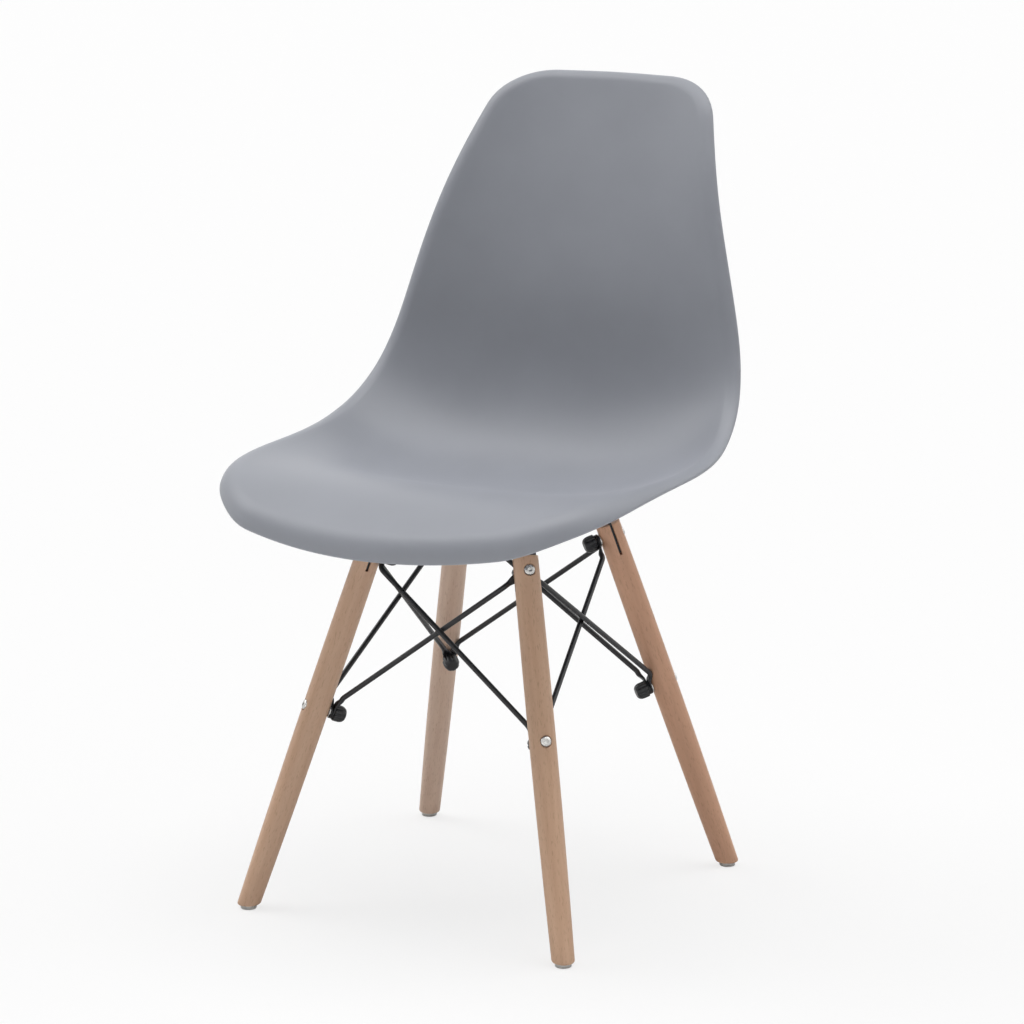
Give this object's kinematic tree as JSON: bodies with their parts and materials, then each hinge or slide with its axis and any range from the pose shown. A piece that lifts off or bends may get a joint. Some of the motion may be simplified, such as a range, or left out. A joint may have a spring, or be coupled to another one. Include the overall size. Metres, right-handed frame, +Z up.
{
  "type": "moulded shell chair",
  "caption": "Side chair with a one-piece moulded plastic shell on splayed turned legs, held by a steel frame and crossing wire braces.",
  "frame": {"origin": "on the floor under the middle of the chair's bounding box", "axes": "+Z up, the chair faces -Y, +X is the sitter's left"},
  "size_m": [0.4576, 0.5324, 0.8189],
  "materials": {
    "shell_plastic": "satin moulded polypropylene",
    "leg_wood": "lacquered beech",
    "glide_plastic": "pale translucent nylon",
    "black_steel": "satin black powder coat",
    "zinc_steel": "zinc plated",
    "black_nylon": "moulded nylon",
    "mount_rubber": "matte",
    "insert_brass": "turned"
  },
  "bodies": {
    "root": {"seat_shell": "shell_plastic", "leg_front_right": "leg_wood", "leg_front_left": "leg_wood", "leg_rear_left": "leg_wood", "leg_rear_right": "leg_wood", "glide_front_right": "glide_plastic", "glide_front_left": "glide_plastic", "glide_rear_left": "glide_plastic", "glide_rear_right": "glide_plastic", "brace_front_outer": "black_steel", "brace_front_inner": "black_steel", "brace_left_outer": "black_steel", "brace_left_inner": "black_steel", "brace_rear_outer": "black_steel", "brace_rear_inner": "black_steel", "brace_right_outer": "black_steel", "brace_right_inner": "black_steel", "bridge_upper": "black_steel", "bridge_lower": "black_steel", "leg_bolts_upper": "zinc_steel", "leg_bolts_lower": "zinc_steel", "leg_washers_upper": "zinc_steel", "leg_washers_lower": "zinc_steel", "cap_nuts_upper": "black_nylon", "cap_nuts_lower": "black_nylon", "seat_screws": "zinc_steel", "seat_washers": "zinc_steel", "rubber_mounts": "mount_rubber", "threaded_inserts": "insert_brass"}
  },
  "joints": []
}
